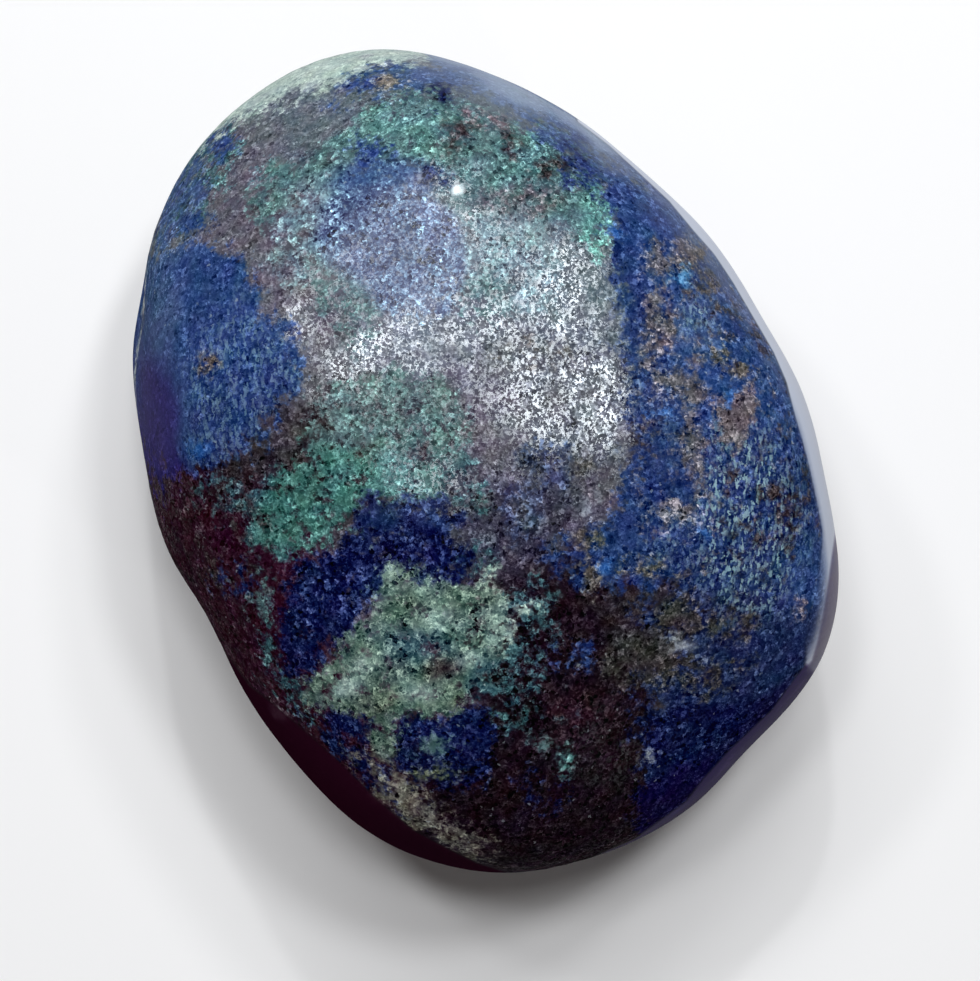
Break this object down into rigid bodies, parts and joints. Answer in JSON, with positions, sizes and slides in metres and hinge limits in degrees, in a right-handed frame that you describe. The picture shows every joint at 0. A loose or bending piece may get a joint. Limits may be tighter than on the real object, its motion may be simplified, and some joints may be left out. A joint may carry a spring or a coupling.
{
  "type": "tumbled azurite with shattuckite stone",
  "caption": "Tumbled stone of azurite with shattuckite: a flattened pebble with a crowned front, worn flats, rounded edges and a flat back to rest on.",
  "frame": {"origin": "under the middle of the stone, on the surface that it lies on", "axes": "+Z out of the front face, upwards; +Y along the stone's long way; +X to the right of someone who looks at the front face"},
  "size_m": [0.0254, 0.0296, 0.0159],
  "materials": {
    "polished_stone": "tumbled and polished: royal-blue azurite, teal and pale green patches, dark brown matrix"
  },
  "bodies": {
    "root": {"tumbled_stone": "polished_stone"}
  },
  "joints": []
}
